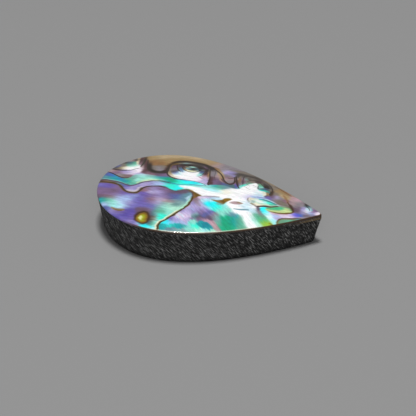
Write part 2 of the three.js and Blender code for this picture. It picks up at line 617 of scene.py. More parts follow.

# %% [markdown]
# Behind the seams lie the bands that run from the round end to the middle: lavender, blue,
# green and turquoise. Each is a ribbon: a path and the tints that it runs through. Between the
# middle and the tip the layers face the light, and their glare is painted into the tint as pure
# white pearl: a painted reflection over the nacre's own pale lustre.

# %% Bands
bands = [
    ribbon("maroon, sand, umber mauve, steel, slate, periwinkle, lilac, lavender, lavender, "
           "lilac, lavender, pale blue, pale blue, turquoise, turquoise, cyan",
           [(-20, 0), (-18, -0.1), (-16.2, -0.6), (-14.8, -1.3), (-13.5, -2), (-12.7, -1),
            (-11.5, 0.2), (-10.2, 0.6), (-8.6, 0.6), (-7, 0.4), (-5.2, -0.3)], 0.38),
    ribbon("steel, teal, teal, teal, sea green, mint, pale green, pale green, pale green, teal",
           [(-20, 1), (-18, 0.9), (-16.2, 0.6), (-14.9, 0.2), (-13.9, 0.2), (-13, 1.2),
            (-11.5, 1.9), (-9.6, 2.2), (-7.6, 1.7)], 0.33),
    ribbon("slate, blue, teal, blue", [(-19.6, 2.5), (-18.4, 2.1), (-17.2, 1.5), (-16, 0.9)], 0.3),
    ribbon("sea green, mint grey, mint, mint, mint, teal, emerald, emerald",
           [(-15.4, 1.2), (-14.2, 2.2), (-12.5, 2.5), (-10.8, 2.6), (-9, 2.7), (-7.2, 2.6)], 0.38),
    ribbon("ice, mint grey, mint grey, slate",
           [(-13.4, 3), (-11.8, 3.1), (-9.8, 3.2), (-8.8, 3.2)], 0.28),
    ribbon("emerald, turquoise, cyan, cyan, cyan, pale cyan, pale cyan, teal, sea green, steel",
           [(-7.6, 2.1), (-5.4, 2.4), (-3.5, 2.5), (-1.5, 2.5), (0.8, 2.4), (2.8, 2.7)], 0.38),
    ribbon("slate, blue, blue, pale blue", [(-6.6, 3), (-5, 3.1), (-2.6, 3.2)], 0.14),
    ribbon("turquoise, turquoise, mint, mint, mint",
           [(-6.2, 1.8), (-3.4, 1.7), (-1.2, 1.9), (1, 1.7)], 0.24),
    # painted glare: a band of pure white across the middle, where the layers face the light
    ribbon("pearl, pearl, pearl, pearl, pearl, cream, pearl",
           [(-4.2, 0.9), (-2, 0.3), (0.4, 0), (2.4, 0.6), (3.5, 1.5), (4.4, 2.2)], 0.5),
    ribbon("pale cyan, pale cyan", [(-1.2, 1.3), (1.6, 0.7)], 0.3),
]
# painted glare: these white ribbons paint the light's reflection into the tint between the middle
# and the tip
painted_glare_middle = [
    ribbon("pearl, pearl, pearl, pearl, ice",
           [(3.6, 1), (4.8, 1.6), (6.2, 2.4), (8, 2.4), (9.2, 1.8)], 0.85),
    ribbon("pearl, cream", [(8.4, 3), (9.3, 3.1)], 0.4),
    ribbon("pearl, pearl, pearl, pearl, lilac, pale blue",
           [(1.8, 0), (3.4, -0.2), (5.2, -0.2), (6.4, 0.6), (8.6, 1.2)], 0.5),
    ribbon("pink lilac, lilac, ice", [(-0.9, -1.9), (0.2, -1.5), (2, -1.2)], 0.25),
    ribbon("ice, ice, ice", [(-0.8, -2.8), (0.2, -2.4), (1.4, -2)], 0.33),
    ribbon("pearl, pearl, ice, pearl", [(4.4, -0.5), (6.4, -1.2), (7.4, -2), (8.6, -1.8)], 0.6),
    ribbon("pearl, pearl, ice, ice", [(4.4, -3), (5.6, -2.7), (7, -2.6), (8.7, -3)], 0.4),
    ribbon("pearl, pearl, pearl, pearl, pearl",
           [(5.6, -3.7), (6.9, -4), (7.9, -4.9), (8.6, -6.2), (9.5, -7.5)], 0.65),
]
print(len(bands) + len(painted_glare_middle), "ribbons in the bands and the middle")

# %% [markdown]
# The near field on the right has a slanting grain, and every ribbon in it follows that slant:
# cyan and emerald hearts, violet shadows and a pink arc. Green leaves of it show at the tip.

# %% Slanting field
slanting_field = [
    ribbon("maroon pink, lilac, lilac, lavender, periwinkle, warm grey, mint grey",
           [(-1.9, -2.6), (-0.8, -3.8), (0.3, -4.8), (1.4, -5.6), (2.3, -6.1), (3.2, -7)], 0.4),
    ribbon("lavender, lilac, lavender, mauve, slate, umber mauve",
           [(-2.2, -3.6), (-1.4, -4.6), (-0.5, -5.3), (0.2, -6), (0.9, -6.8), (2, -7.3)], 0.38),
    ribbon("lilac, lavender, lavender, mint grey, grey teal, umber mauve",
           [(-2.4, -4.9), (-1.7, -5.6), (-1.1, -6.5), (-0.4, -7.4), (0.6, -7.6)], 0.33),
    ribbon("cyan, cyan, turquoise, mint",
           [(0.3, -3.1), (1.6, -3.7), (2.8, -3.8), (4.2, -4.4)], 0.5),
    ribbon("ice, turquoise, mint, mint",
           [(0.4, -4.2), (2.4, -4.6), (3.2, -5.2), (3.8, -5.9)], 0.28),
    ribbon("pale cyan, mint, mint", [(3.2, -3), (4.2, -4.1), (4.4, -4.9)], 0.35),
    ribbon("steel, steel, teal, sea green",
           [(4.5, -5.1), (5.4, -5.1), (6.2, -5.4), (7, -5.8)], 0.36),
    ribbon("emerald, emerald, emerald, teal",
           [(4.2, -6), (4.6, -7), (5.4, -7.9), (6.1, -6.6)], 0.7),
    ribbon("sea green, sea green, sea green, grey green",
           [(6.6, -6.2), (7, -7.2), (7.4, -8), (8.4, -8.5)], 0.5),
    ribbon("mint grey, sea green, emerald, emerald",
           [(3.4, -7.1), (3.8, -8.1), (4.6, -8.8), (5.8, -8.9)], 0.28),
    ribbon("mauve, rose, rose, dusty pink",
           [(-0.3, -8), (0.9, -7.9), (2.1, -8.1), (3, -8.7), (3.6, -9.5)], 0.22),
    ribbon("teal, deep teal, teal", [(0.5, -8.9), (1.6, -9.3), (2.2, -9.9)], 0.33),
    ribbon("mint, turquoise, pale green, pale cyan, pale green",
           [(-0.6, -8.6), (-0.9, -9.4), (-0.1, -10), (0.9, -10.6), (3.4, -10.4)], 0.28),
    ribbon("lavender, pink white, pink lilac, periwinkle",
           [(-3.3, -6.3), (-3.6, -7.4), (-3.9, -8.1), (-4.7, -9)], 0.33),
    ribbon("lilac, pink lilac, pink lilac, lilac",
           [(-2.5, -6.4), (-2.4, -7.2), (-2.8, -8.2), (-1.8, -9)], 0.4),
    ribbon("cyan, pale blue, lavender, pale blue",
           [(-5.7, -10), (-4.4, -9.8), (-3.6, -9.2), (-2.2, -9.6)], 0.3),
    ribbon("teal, turquoise, teal, teal, mint",
           [(-5.8, -11.2), (-4.8, -10.9), (-3.4, -10.6), (-2, -10.5), (-0.8, -11)], 0.25),
    ribbon("steel, mint grey, mint grey", [(-4.2, -11.3), (-3, -11.6), (-1.6, -11.6)], 0.25),
]
print(len(slanting_field), "ribbons in the slanting field")

# %% Near the tip
near_tip = [
    ribbon("sea green, leaf green, yellow green", [(9.1, -4), (10, -5), (11.5, -6)], 0.4),
    ribbon("mint, pale green", [(8.8, -5), (10.5, -6.8)], 0.35),
    ribbon("warm grey, grey green, leaf green, yellow green",
           [(9.6, -2.9), (10.4, -3.9), (11, -4.8), (12, -5.4)], 0.35),
    ribbon("cyan, pale cyan, pearl, pale cyan, pale cyan",
           [(10, -2.3), (11.2, -3.4), (12.9, -5.4)], 0.35),
    ribbon("pale blue, lilac", [(12.3, -3), (13, -3.8)], 0.35),
    ribbon("pink lilac, pink lilac", [(12, -2.6), (14.8, -2.6)], 0.22),
    ribbon("pink lilac, royal, blue, warm grey, warm grey",
           [(14.6, -2.3), (15.6, -1.9), (16.6, -1.5), (17.6, -1.4), (18.6, -1.8)], 0.24),
    ribbon("umber mauve, lavender, warm grey, pale blue",
           [(15.6, -0.6), (16.8, -1), (17.8, -0.6), (18.8, -0.7)], 0.3),
    ribbon("lavender, warm grey, light tan", [(16.4, -2.5), (17.8, -2.2), (19.6, -1.5)], 0.25),
]
blend(bands + painted_glare_middle + slanting_field + near_tip)
report("pearl")

# %% [markdown]
# Along the far edge the cut goes through the horny outer layer: tan bands and dark folds.

# %% Horn
horn_border = [
    (-21, 3.6), (-19.4, 2.95), (-18.3, 2.6), (-17.3, 2), (-16.2, 1.45), (-15.2, 1.6), (-14.6, 2.3),
    (-14, 3), (-12.9, 3.4), (-9.6, 3.4), (-8.3, 3.5), (-7, 3.15), (-5, 3.1), (-2.4, 2.9), (-1, 2.4),
    (-0.3, 2.7), (1, 3), (2.3, 3.1), (3.4, 2.8), (4.7, 2.8), (4.95, 3.3), (5.3, 4), (5.9, 4.6),
    (6.2, 5.3), (6.5, 5.8), (7.1, 6.1), (7.55, 5.6), (7.75, 4.9), (7.9, 4.1), (8.4, 3.6),
    (9.2, 3.5), (9.6, 3), (9.6, 2.3), (9.5, 1.7), (10.4, 1.2), (11.6, 0.5), (12.6, -0.1),
    (14, -0.1), (15, -0.6), (16, -0.3), (17.2, -0.5), (19, -0.9), (21, -1.2), (22, 3), (10, 14),
    (-22, 14),
]
horn = [
    ribbon("tan, light tan, light tan, light tan, light tan, light tan, light tan, light tan, "
           "tan, dusty pink, warm grey, warm grey",
           [(-13.4, 9.3), (-12, 10), (-10.5, 10.8), (-8.6, 11.4), (-6.2, 11.7), (-3.8, 11.4),
            (-2, 10.8), (-0.6, 10), (1, 9.8), (2.6, 9.6)], 0.5),
    ribbon("brown orange, tan, tan, tan, tan, tan",
           [(-12.6, 8.3), (-11.2, 9), (-9.6, 9.9), (-7.6, 10.6), (-5, 10.8), (-3, 10.5)], 0.38),
    ribbon("brown orange, brown orange, tan",
           [(-12.2, 7.6), (-11, 7.8), (-9.9, 8.3), (-9.4, 9.2)], 0.42),
    ribbon("horn grey, warm grey, warm grey, horn grey",
           [(-11.7, 5.9), (-11.1, 6.4), (-10.5, 6), (-10.1, 7)], 0.5),
    ribbon("soot, soot, soot, soot, soot, maroon, umber",
           [(-12.7, 7.4), (-12.4, 6.2), (-11.8, 5), (-10.8, 4.5), (-9.6, 4.9), (-9.2, 6),
            (-9, 7.8)], 0.25),
    ribbon("maroon, maroon pink, maroon pink, umber mauve, mauve",
           [(-13, 5), (-12.7, 4.2), (-11.6, 3.8), (-10.2, 3.9), (-9, 3.8)], 0.35),
    ribbon("light tan, cream", [(-15.2, 8.8), (-14.9, 6.8)], 0.15),
    ribbon("maroon, maroon, maroon pink", [(-14.6, 9.3), (-14.5, 8.1), (-14.4, 7)], 0.25),
    ribbon("soot, charcoal, charcoal, dusty pink",
           [(-14, 9.2), (-13.95, 8), (-13.9, 6.8), (-13.6, 5.6)], 0.2),
    ribbon("maroon, maroon, maroon", [(-13.5, 8.4), (-13.3, 7), (-13.1, 5.4)], 0.2),
]
horn_at_tip = [
    ribbon("horn grey, tan, tan, tan", [(10.6, 5.9), (11.4, 5), (12.5, 4.2), (13.4, 3.6)], 0.4),
    ribbon("brown orange, brown orange, dusty pink, rose",
           [(11.8, 5.3), (13.6, 4.3), (14.3, 3.5), (15.4, 2.7)], 0.28),
    ribbon("horn grey, light tan, light tan", [(11.2, 3.4), (12, 4), (13.2, 2.9)], 0.38),
    ribbon("umber mauve, lilac, warm grey", [(10.7, 2.3), (11.5, 2.4), (12.5, 2.4)], 0.38),
    ribbon("violet, warm grey, horn grey, horn grey",
           [(10, 1.7), (11.2, 1.4), (12.4, 1.1), (13.4, 0.5)], 0.33),
    ribbon("dusty pink, warm grey, warm grey", [(14.5, 2.3), (15.6, 1.9), (16.5, 1.4)], 0.45),
    ribbon("maroon pink, dusty pink, warm grey, umber mauve",
           [(13.3, 1.8), (14.8, 1.1), (15.7, 0.2), (15.4, -0.5)], 0.35),
    ribbon("soot, grey teal, mint grey", [(17, 2.1), (17.3, 1.3), (17.7, 0.9)], 0.22),
    # painted highlight: the pearl white spot near the tip
    ribbon("lavender, pearl, mauve", [(16.6, 0.4), (17.6, 0.2), (18.6, 0.2)], 0.4),
    ribbon("pale blue, lavender, pink white", [(17.9, -0.3), (18.6, -0.6), (19.4, -0.3)], 0.25),
]
print(len(horn) + len(horn_at_tip), "ribbons of horn")

# %% [markdown]
# Three eyes look out of the horn, each a pocket of pearl with rings round it. The first is cut
# off by the round end, the second is whole, and the third opens into the bright middle.

# %% First eye
first_eye = [
    ribbon("slate, slate, horn grey, horn grey",
           [(-18.9, 5), (-18, 5.6), (-17.3, 5.7), (-17, 6.3)], 0.35),
    ribbon("charcoal, grey teal, grey teal, sea green",
           [(-17.4, 7.1), (-16.7, 7), (-16.1, 6.9), (-15.4, 6.8)], 0.35),
    ribbon("sea green, mint grey, mint", [(-16.7, 6.2), (-15.9, 6.2), (-15, 6.3)], 0.25),
    # painted glare: the pure white under the first eye is the light's reflection painted into the
    # tint
    ribbon("charcoal, sand, cream, pearl, pearl, pearl",
           [(-18.8, 4.6), (-17.6, 4.8), (-16.5, 4.9), (-15.8, 4.9), (-15.2, 5.2),
            (-14.5, 6)], 0.34),
    ribbon("pale green, pale green", [(-16, 5.7), (-14.9, 6.2)], 0.24),
    ribbon("dusty pink, dusty pink, charcoal", [(-17.4, 7.5), (-16.2, 8), (-15.2, 8.4)], 0.25),
    ribbon("dusty pink, maroon pink, lavender, lilac, pink white, pink white",
           [(-19.2, 3.6), (-17.6, 3.7), (-16.2, 3.7), (-15, 4), (-14.2, 4.6), (-13.7, 5.3)], 0.4),
    ribbon("mauve, maroon pink, lilac, pink white, lilac",
           [(-18.8, 2.9), (-17.4, 3.1), (-16, 3.2), (-14.6, 3.1), (-13.4, 3.4)], 0.22),
    ribbon("warm grey, horn grey, maroon pink", [(-17.2, 2.5), (-15.9, 2.3), (-15, 2.7)], 0.25),
]
print(len(first_eye), "ribbons in the first eye")

# %% Second eye
second_eye = [
    ribbon("umber, soot, soot, soot, soot, soot",
           [(-9, 8.1), (-8, 9.1), (-6.4, 9.75), (-4.4, 9.85), (-2.7, 9.4), (-1.4, 8.6)], 0.22),
    ribbon("olive, horn grey, mint grey, horn grey, charcoal, charcoal, umber mauve",
           [(-8.5, 8.2), (-7.4, 8.8), (-6.2, 9.15), (-5, 9.2), (-3.4, 9), (-2.4, 8.4)], 0.2),
    ribbon("umber mauve, soot, soot, soot, charcoal, soot, soot",
           [(-8.3, 7.6), (-7.6, 8.1), (-6.6, 8.5), (-5.4, 8.75), (-4.2, 8.7), (-3.1, 8.2),
            (-2.5, 7.4)], 0.2),
    ribbon("olive, warm grey, sand, light tan, cream, pink white",
           [(-8.75, 7.8), (-8.75, 6.8), (-8.55, 5.4), (-8.05, 4.4), (-7, 3.85),
            (-5.6, 3.55)], 0.13),
    ribbon("umber mauve, warm grey, charcoal, slate, pale cyan",
           [(-8.3, 7.2), (-8.1, 6.3), (-7.8, 5.6), (-7.1, 5), (-6.4, 4.9)], 0.33),
    ribbon("maroon, grey teal, steel, ice", [(-6.9, 7.9), (-6.7, 7), (-6.4, 6.3), (-6, 5.7)], 0.24),
    ribbon("maroon, tan, cream, pale yellow, cream, grey teal",
           [(-6.5, 7.7), (-6.1, 6.9), (-5.4, 6.5), (-4.6, 6.45), (-3.9, 6.8), (-3.4, 7.3)], 0.17),
    ribbon("mint grey, grey teal, soot, grey teal",
           [(-5.8, 7.3), (-5.2, 7.2), (-4.4, 7.3), (-3.9, 7.5)], 0.22),
    ribbon("sand, mint grey, pale green, mint grey, soot",
           [(-6.1, 7.7), (-5.4, 8), (-4.7, 8.05), (-3.7, 7.9)], 0.12),
    ribbon("soot, grey teal, horn grey", [(-3.4, 7.6), (-3, 7.3), (-2.6, 7.6)], 0.22),
    # painted glare: pure white in the lower half of the second eye, where the light reflects off
    # its layers
    ribbon("pearl, pearl, pearl, pearl", [(-6.2, 4.9), (-5.4, 5.4), (-4.2, 5.6), (-3.5, 5.3)], 0.5),
    ribbon("pearl, pearl, pearl, pink white",
           [(-7.2, 4.5), (-5.4, 4.4), (-4, 4.3), (-2.7, 4.1)], 0.5),
    ribbon("slate, grey teal, pale cyan, mint",
           [(-2.9, 7), (-2.8, 6.4), (-2.9, 5.7), (-3.3, 5.1)], 0.24),
    ribbon("soot, maroon, maroon, rose, lilac, lilac",
           [(-2.1, 8), (-2, 7.2), (-2.1, 6), (-2, 5), (-1.8, 4), (-2.3, 3.5)], 0.25),
    ribbon("rose, rose, pink lilac", [(-3, 4.9), (-2.4, 4.5), (-1.7, 4.3)], 0.1),
    ribbon("horn grey, tan, brown orange, dusty pink, lilac",
           [(-1.7, 7.8), (-1.5, 6.4), (-1.35, 5.2), (-1.35, 3.7)], 0.14),
    ribbon("soot, warm grey, warm grey, warm grey, maroon, maroon",
           [(-1.3, 8.6), (-0.9, 7.7), (-0.7, 6.6), (-0.7, 5), (-0.6, 4)], 0.28),
    ribbon("brown orange, tan, light tan, tan, tan, dusty pink",
           [(-0.7, 8.9), (0, 8), (0.5, 7), (0.9, 6), (1.2, 5.2), (1.7, 4.6)], 0.25),
    ribbon("dusty pink, umber mauve, mauve, umber mauve, slate, grey teal",
           [(0.3, 6.2), (0.1, 5.2), (0.2, 4.3), (1, 3.7), (2, 3.4), (3, 3.3)], 0.33),
]
print(len(second_eye), "ribbons in the second eye")

# %% Third eye
third_eye = [
    ribbon("warm grey, lilac, lavender, lavender",
           [(0.4, 9), (1.2, 8.5), (2, 8.1), (2.8, 7.6)], 0.5),
    ribbon("warm grey, maroon pink, dusty pink, warm grey",
           [(1.9, 7.2), (2.1, 6.3), (2.3, 5.4), (2.8, 4.7)], 0.38),
    ribbon("charcoal, dusty pink, maroon pink", [(3.55, 7.4), (3.6, 6.3), (3.75, 5)], 0.15),
    ribbon("horn grey, brown orange, horn grey", [(4.15, 7.4), (4.2, 6.2), (4.5, 4.9)], 0.13),
    ribbon("warm grey, maroon pink, umber mauve, warm grey",
           [(4.8, 7.4), (4.8, 6.4), (4.9, 5.4), (4.75, 4.4)], 0.2),
    ribbon("violet, slate", [(4.15, 4.4), (4.4, 3.4)], 0.2),
    ribbon("horn grey, horn grey, horn grey, charcoal, tan, tan",
           [(2.6, 9.4), (4, 9.2), (5.6, 8.9), (7.2, 8.4), (9, 7.6), (10.4, 6.8)], 0.22),
    ribbon("charcoal, charcoal, charcoal, charcoal, horn grey, horn grey",
           [(2.9, 7.9), (4.4, 8.2), (6.2, 8.2), (8, 7.6), (9.4, 6.8), (10.1, 6.2)], 0.3),
    ribbon("charcoal, horn grey, charcoal, maroon, charcoal, soot",
           [(5, 7.3), (6.2, 7.5), (7.4, 7.2), (8.4, 6.5), (9.1, 5.9), (9.3, 5.2)], 0.3),
    ribbon("horn grey, mint grey, horn grey, warm grey",
           [(5.4, 7.9), (5.3, 6.9), (5.5, 5.9), (5.3, 5.2)], 0.15),
    ribbon("horn grey, grey green, mint, turquoise, mint",
           [(6.4, 6.4), (6, 5.8), (5.75, 5), (5.3, 4.5), (4.9, 4), (4.75, 3.4)], 0.17),
    ribbon("horn grey, grey green, sea green, mint",
           [(8.2, 6.6), (8.1, 5.7), (8.3, 5.1), (8.6, 4.8)], 0.2),
    ribbon("mint grey, grey teal, slate, grey teal, horn grey",
           [(8, 4.4), (8.6, 4.5), (9.2, 4.6), (9.8, 4.5), (10.3, 4.2)], 0.16),
    ribbon("mint, teal, teal, sea green, grey teal",
           [(7.9, 3.8), (8.5, 3.9), (9.1, 3.95), (9.7, 3.8), (10.2, 3.4)], 0.16),
    ribbon("charcoal, horn grey, umber, umber",
           [(9.9, 5.6), (10.3, 4.8), (10.5, 3.8), (10.5, 3)], 0.17),
    ribbon("tan, sand, umber mauve", [(9.9, 3.2), (9.85, 2.6), (9.7, 2)], 0.14),
]
blend(horn + horn_at_tip + first_eye + second_eye + third_eye, field(horn_border), wander=0.3)
report("horn and eyes")

# %% [markdown]
# The large near field at the round end is violet, and the two seams round it give it the shape
# of a heart. Its grain runs straight across, so its ribbons lie in rows.

# %% Violet field by the round end
heart_by_round_end = [
    ribbon("periwinkle, violet, violet, mauve, mauve, violet",
           [(-20, -1.3), (-18.2, -1.4), (-16.8, -1.6), (-15.8, -2.3), (-15, -3), (-14, -3.4)], 0.5),
    ribbon("mauve, mauve, umber mauve, mauve, violet",
           [(-20, -2.8), (-18.6, -2.9), (-17, -2.9), (-15.4, -3.3), (-13.6, -3.5)], 0.4),
    ribbon("mauve, mauve, mauve, lavender, pale blue, periwinkle",
           [(-19.6, -3.9), (-18, -3.9), (-16.6, -3.9), (-15.2, -4.1), (-13.8, -4.2),
            (-12.2, -3.9)], 0.45),
    ribbon("umber mauve, maroon pink, warm grey, pale blue, pale blue",
           [(-19.2, -4.9), (-17.4, -4.8), (-16, -4.9), (-14.6, -5.1), (-13, -5.2)], 0.42),
    ribbon("teal, sea green, mint, ice, pale blue, lavender",
           [(-18.4, -6), (-17.2, -5.9), (-16.2, -6), (-15, -6.2), (-13.6, -6.3),
            (-12.2, -5.9)], 0.5),
    ribbon("pale blue, mint, pale cyan, ice, periwinkle",
           [(-17.4, -7.2), (-16.2, -6.9), (-15, -7.1), (-13.8, -7.3), (-12, -7)], 0.4),
    ribbon("slate, lavender, mauve, violet, deep violet",
           [(-16.8, -8.2), (-15.4, -8.7), (-13.8, -8.8), (-12.6, -8.3), (-11.6, -8.2)], 0.4),
    ribbon("periwinkle, periwinkle, deep violet, deep violet, violet",
           [(-15, -9.2), (-13.8, -9.6), (-12.8, -9.8), (-11.8, -9.3), (-11, -10)], 0.4),
    ribbon("deep violet, periwinkle, violet, lavender, periwinkle, lilac",
           [(-14, -10.2), (-12.6, -10.5), (-11.8, -11.1), (-10.8, -11.6), (-9.4, -12.1)], 0.35),
    ribbon("periwinkle, periwinkle, violet, periwinkle",
           [(-11.8, -4), (-11.2, -5.2), (-10.4, -5.6), (-10, -6.6)], 0.7),
    ribbon("umber mauve, maroon pink", [(-10.8, -7.6), (-8.6, -7.5)], 0.38),
]
print(len(heart_by_round_end), "ribbons by the round end")

# %% Violet field by the slanting seam
heart_by_seam = [
    ribbon("maroon pink, lavender, mauve, mauve, umber mauve, umber mauve",
           [(-11.4, -1.8), (-10.1, -1.3), (-8.6, -0.9), (-7.2, -1.3), (-6, -1.5),
            (-4.8, -1.1)], 0.33),
    ribbon("lilac, lavender, mauve, slate, slate, steel",
           [(-9.8, -2.3), (-8.3, -1.9), (-7, -2.2), (-5.6, -2.2), (-4.8, -2.4),
            (-3.7, -1.8)], 0.45),
    ribbon("violet, mauve, lavender, mauve, slate, steel",
           [(-11.4, -3.1), (-10, -3.3), (-8.6, -3), (-6.8, -3.1), (-4.8, -3), (-3.6, -3.2)], 0.45),
    ribbon("maroon pink, lilac, dusty pink, warm grey, mint grey",
           [(-9.8, -4.3), (-7.8, -4), (-6.2, -4.2), (-5, -4), (-3.9, -4.2)], 0.38),
    ribbon("mauve, lilac, mint grey, pale green, grey teal",
           [(-9.6, -5.2), (-7.9, -5.2), (-6.6, -5.2), (-5.4, -5.2), (-4.2, -5)], 0.38),
    ribbon("periwinkle, mint grey, mint, pale green, pale green",
           [(-9.2, -6.1), (-7.4, -6.2), (-6, -6.2), (-4.8, -6), (-3.7, -5.2)], 0.48),
    ribbon("periwinkle, sea green, sea green, mint",
           [(-9, -7.1), (-7.4, -7.3), (-6.2, -7.2), (-5.3, -7.3)], 0.5),
    ribbon("grey teal, mint grey, turquoise, turquoise",
           [(-8.4, -8.1), (-7.3, -8.2), (-6.5, -8.6), (-6.1, -9.4)], 0.4),
    ribbon("charcoal, horn grey, mint", [(-8.2, -9.7), (-7.4, -9.6), (-6.7, -10)], 0.4),
    ribbon("grey teal, sea green, mint", [(-8.2, -11), (-7.3, -11.1), (-6.6, -11.2)], 0.35),
    ribbon("cyan, cyan, pale cyan", [(-9.2, -11.8), (-8, -12), (-6.8, -12.2)], 0.35),
    ribbon("ice, ice", [(-3.1, -2), (-3.2, -3.2)], 0.15),
]
heart_border = lower_seam + slanting_seam[1:] + [(-8, -14), (-22, -14), (-22, -4)]
blend(heart_by_round_end + heart_by_seam, field(heart_border, 0.08))
report("violet field")

# %% [markdown]
# A bore hole that the animal healed shows as a yellow dot with a dark ring and a purple shadow.

# %% Healed dot and crescent
patch("umber mauve", [(-10.9, -8.6), (-10.2, -7.4), (-9.2, -7.2), (-8.4, -8), (-8.2, -9.4),
                      (-9, -8.8), (-10, -8.9)], 0.5, 0.7)
patch("umber", [(-10.9, -9.7), (-10.5, -8.5), (-9.7, -7.9), (-8.8, -8.3), (-8.25, -9.4),
                (-8.2, -10.7), (-8.8, -11.4), (-9.8, -11.3), (-10.6, -10.6)], 0.28)
patch("gold", [(-10.5, -9.7), (-10.15, -8.85), (-9.5, -8.4), (-8.85, -8.8), (-8.55, -9.8),
               (-8.6, -10.7), (-9.2, -11.1), (-10, -10.9), (-10.4, -10.4)], 0.22)
patch("yellow green", [(-10.1, -9.8), (-9.8, -9.1), (-9.3, -9), (-8.95, -9.8), (-9.1, -10.6),
                       (-9.7, -10.6)], 0.35, 0.65)
stroke("pale yellow", [(-9.85, -9.55), (-9.6, -10.2)], 0.34, 0.85)
stroke("pale blue", [(-14.6, -5.3), (-13.2, -4.4), (-12.1, -3.7)], 0.7, 0.4, 1.0)
stroke("periwinkle", [(-12.2, -5.2), (-11.6, -6.6), (-11.8, -7.6)], 0.5, 0.45, 1.0)
stroke("sand", [(-15.3, -8), (-14.4, -8.35), (-13.2, -8.3)], 0.3, 0.9)
stroke("olive", [(-15, -8.25), (-14.2, -8.6), (-13.5, -8.5)], 0.14, 0.6)
report("healed dot and crescent")

# %% [markdown]
# Towards the tip the layers are cut so flat that they show as leaves: long green ovals with a
# cream or olive outline. In the bright middle lie small brown and grey lenses.

# %% First leaf
patch("cream", [(7, 0.55), (7.8, 0.8), (9.4, 0.75), (10.8, 0.45), (12.3, -0.2), (11.4, -0.8),
                (10, -1.1), (8.8, -1.3), (7.6, -0.8)], 0.16, 0.85)
patch("pale green", [(8.1, 0.55), (9.4, 0.6), (10.8, 0.3), (12.1, -0.25), (11, -0.65), (9.6, -0.8),
                     (8.5, -0.5)], 0.28)
# painted highlight: the pure white core of the first leaf
patch("pearl", [(8.2, 0.35), (9, 0.4), (9.8, 0.05), (9.6, -0.4), (8.7, -0.45)], 0.3, 0.85)
stroke("pale cyan", [(9.7, 0.05), (10.3, -0.15)], 0.3, 0.8)
stroke("teal", [(9, 0.8), (10.2, 0.55), (11.2, 0.25), (12.1, -0.15)], 0.22, 0.9)
stroke("turquoise", [(10.4, 0), (11.4, -0.2)], 0.3, 0.8)
stroke("sea green", [(11, -0.35), (11.9, -0.3)], 0.25, 0.7)
stroke("pale blue", [(7.4, 0.95), (8.4, 1.05), (9.4, 1)], 0.18, 0.8)
stroke("periwinkle", [(8.4, 1.25), (9.4, 1.3), (10.6, 1.25)], 0.13, 0.7)
stroke("cream", [(9.3, 3.3), (9.4, 2.8), (9.25, 2.2)], 0.25, 0.8)
stroke("turquoise", [(8.3, 3.7), (8.9, 3.75), (9.4, 3.7)], 0.12, 0.6)
patch("mint grey", [(7.5, -0.3), (7.9, -0.15), (8.3, -0.4), (8.2, -0.85), (7.7, -0.8)], 0.14, 0.7)
stroke("sand", [(7.6, -1), (8.1, -1.25), (8.6, -1.4)], 0.14, 0.9)
stroke("olive", [(6.95, 0.35), (7, -0.3), (7.3, -0.8)], 0.1, 0.6)
stroke("umber", [(12.4, -0.55), (11.5, -0.85), (10.5, -1.05), (9.6, -1.3), (8.7, -1.55)], 0.2, 0.9)
report("first leaf")

# %% Second and third leaf
patch("olive", [(10.2, -1.7), (11.6, -0.9), (12.8, -0.4), (14, -0.15), (15.1, -0.5), (15.3, -1.2),
                (14.6, -1.9), (13, -2.35), (11.4, -2.25)], 0.15)
patch("leaf yellow", [(10.2, -1.85), (12, -0.95), (13.6, -0.35), (14.7, -0.55), (14.95, -1.2),
                      (14.2, -1.7), (12.9, -2.1), (11.4, -2.1)], 0.15)
patch("leaf green", [(10.6, -1.6), (11.8, -0.9), (13, -0.5), (13.6, -0.9), (12.8, -1.5),
                     (11.6, -1.7)], 0.35)
stroke("grey green", [(13, -0.5), (14.3, -0.45), (14.7, -0.9)], 0.3, 0.6)
stroke("cyan", [(9.6, -1.9), (10.4, -1.7)], 0.28, 0.9)
stroke("rose", [(11.6, -2.45), (13, -2.5), (14.4, -2.15)], 0.14, 0.7)
patch("olive", [(12.9, -5), (13, -4), (13.6, -3.4), (14.8, -3), (16.4, -2.55), (17.6, -2.2),
                (17.9, -2.9), (16, -4.4), (13.6, -5.6)], 0.15, 0.8)
patch("grey green", [(13.25, -4.9), (13.4, -4), (14.2, -3.5), (15.4, -3.15), (16.6, -2.75),
                     (17.3, -2.5), (17.2, -3.2), (15.6, -4.4), (13.8, -5.3)], 0.18)
patch("sea green", [(14.2, -3.8), (15.4, -3.3), (16.4, -3), (16, -3.7), (14.6, -4.3)], 0.4, 0.7)
stroke("steel", [(16.2, -3), (16.9, -2.7)], 0.3, 0.8)
stroke("umber mauve", [(17.2, -1.6), (18, -1.2), (19, -1)], 0.35, 0.5)
stroke("warm grey", [(16.6, -2.3), (17.6, -1.9), (18.6, -1.5)], 0.3, 0.6)
# painted highlight: an ice-white spot near the tip
patch("ice", [(17.1, 0.7), (17.5, 0.8), (18, 0.4), (18.1, -0.1), (17.6, 0), (17.1, 0.2)], 0.2, 0.9)
stroke("turquoise", [(17.9, 0.75), (18.3, 0.3)], 0.1, 0.6)
report("second and third leaf")

